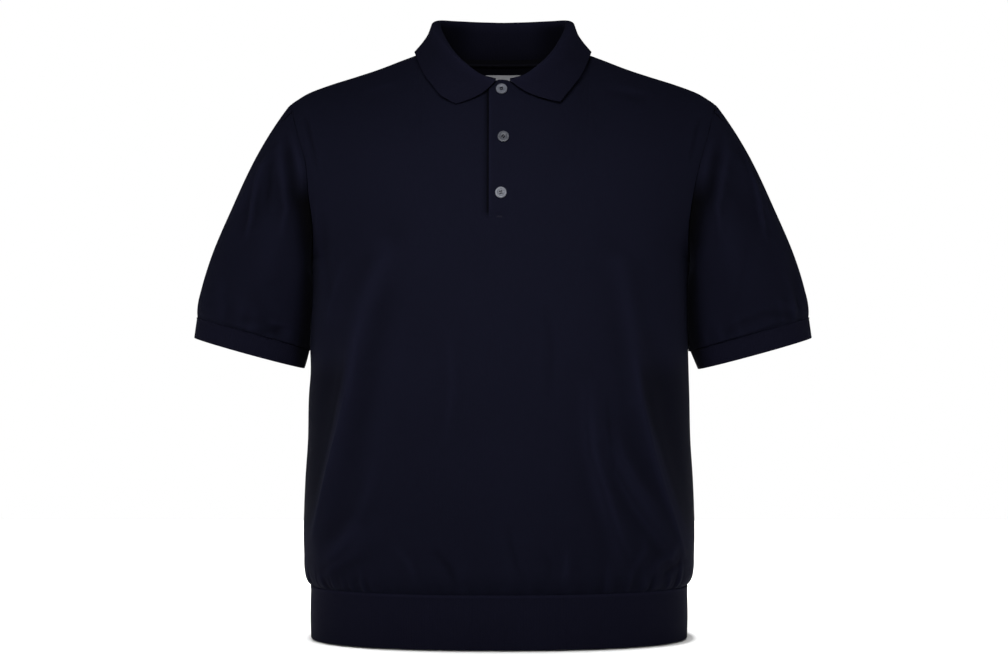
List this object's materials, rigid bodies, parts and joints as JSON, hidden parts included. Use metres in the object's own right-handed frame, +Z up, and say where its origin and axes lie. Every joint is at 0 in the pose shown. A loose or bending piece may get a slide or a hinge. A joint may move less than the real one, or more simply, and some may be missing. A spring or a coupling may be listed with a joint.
{
  "type": "knitted polo sweater",
  "caption": "Short-sleeved knitted polo sweater, filled out as worn, with a turned-down collar, buttoned placket, cuffs and a flat waist band.",
  "frame": {"origin": "midway between the two high shoulder points, where the shoulder seams meet the neck and the wearer's shoulders hold the sweater up", "axes": "+Z up, -Y out of the front, +X to the wearer's left"},
  "size_m": [0.7202, 0.2567, 0.7268],
  "materials": {
    "knit": "matte fine-gauge knit",
    "band": "matte close knit",
    "tape": "matte twill tape",
    "label": "smooth woven tab, bare",
    "button": "polished pearl grey"
  },
  "bodies": {
    "root": {"front": "knit", "back": "knit", "sleeve_left": "knit", "sleeve_right": "knit", "cuff_left": "band", "cuff_right": "band", "hem_front": "band", "hem_back": "band", "collar": "band", "placket_over": "band", "placket_under": "band", "button_1": "button", "button_2": "button", "button_3": "button", "neck_tape": "tape", "label": "label"}
  },
  "joints": []
}
